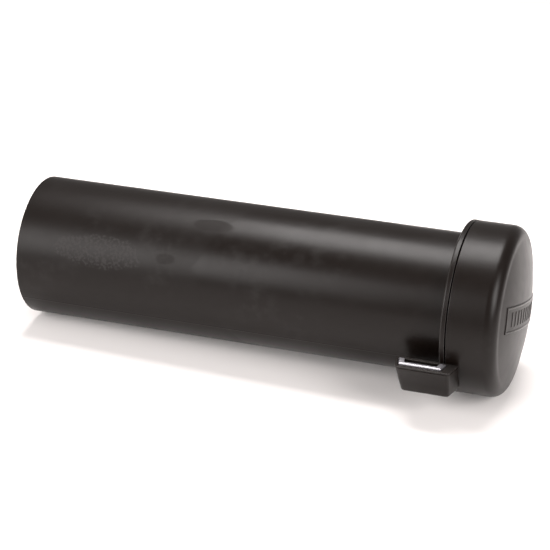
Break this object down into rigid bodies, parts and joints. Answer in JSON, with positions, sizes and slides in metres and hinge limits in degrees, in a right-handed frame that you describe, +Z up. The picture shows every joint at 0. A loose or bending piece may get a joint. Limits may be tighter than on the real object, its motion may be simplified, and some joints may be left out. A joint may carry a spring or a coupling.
{
  "type": "fire blanket",
  "caption": "Rolled fire blanket in a round tube with a domed push-in cap, side bracket pocket and pull tapes.",
  "frame": {"origin": "under the middle of the whole object, at the level of the lowest point of the collar", "axes": "+X along the tube's axis from the closed end to the cap, +Z up as the canister lies, -Y towards the bracket pocket"},
  "size_m": [0.2904, 0.1058, 0.0958],
  "materials": {
    "black_moulding": "satin moulded",
    "panel_moulding": "satin moulded",
    "black_rubber": "matt",
    "bright_steel": "pressed bright",
    "zinc_screw": "zinc plated",
    "grey_foam": "open-cell foam",
    "glass_cloth": "woven glass fibre",
    "black_webbing": "woven tape",
    "red_tab": "moulded"
  },
  "bodies": {
    "canister": {"tube_body": "black_moulding", "collar_ring": "black_moulding", "base_plug": "black_moulding", "base_foam_pad": "grey_foam", "mouth_gasket": "black_rubber"},
    "seal": {"plug_o_ring": "black_rubber"},
    "cap": {"cap_cover": "black_moulding", "plug_insert": "black_moulding", "plug_screw_1": "zinc_screw", "plug_screw_2": "zinc_screw", "plug_screw_3": "zinc_screw", "cap_foam_pad": "grey_foam", "end_panel": "panel_moulding", "bracket_pocket": "black_moulding", "pocket_liner": "bright_steel"},
    "blanket": {"blanket_roll": "glass_cloth", "pull_tape_1": "black_webbing", "pull_tape_2": "black_webbing", "pull_tab_1": "red_tab", "pull_tab_2": "red_tab"}
  },
  "joints": [
    {"name": "cap_pull", "type": "slide", "parent": "canister", "child": "seal", "axis": [1, 0, 0], "range_m": [0, 0.3]},
    {"name": "cap_turn", "type": "hinge", "parent": "seal", "child": "cap", "pos_m": [0.10585, 0.00503, 0.0479], "axis": [1, 0, 0], "continuous": true},
    {"name": "blanket_draw", "type": "slide", "parent": "canister", "child": "blanket", "axis": [1, 0, 0], "range_m": [0, 0.2465]}
  ],
  "couplings": [
    {"joint": "blanket_draw", "follows": "cap_pull", "ratio": 0.82}
  ]
}
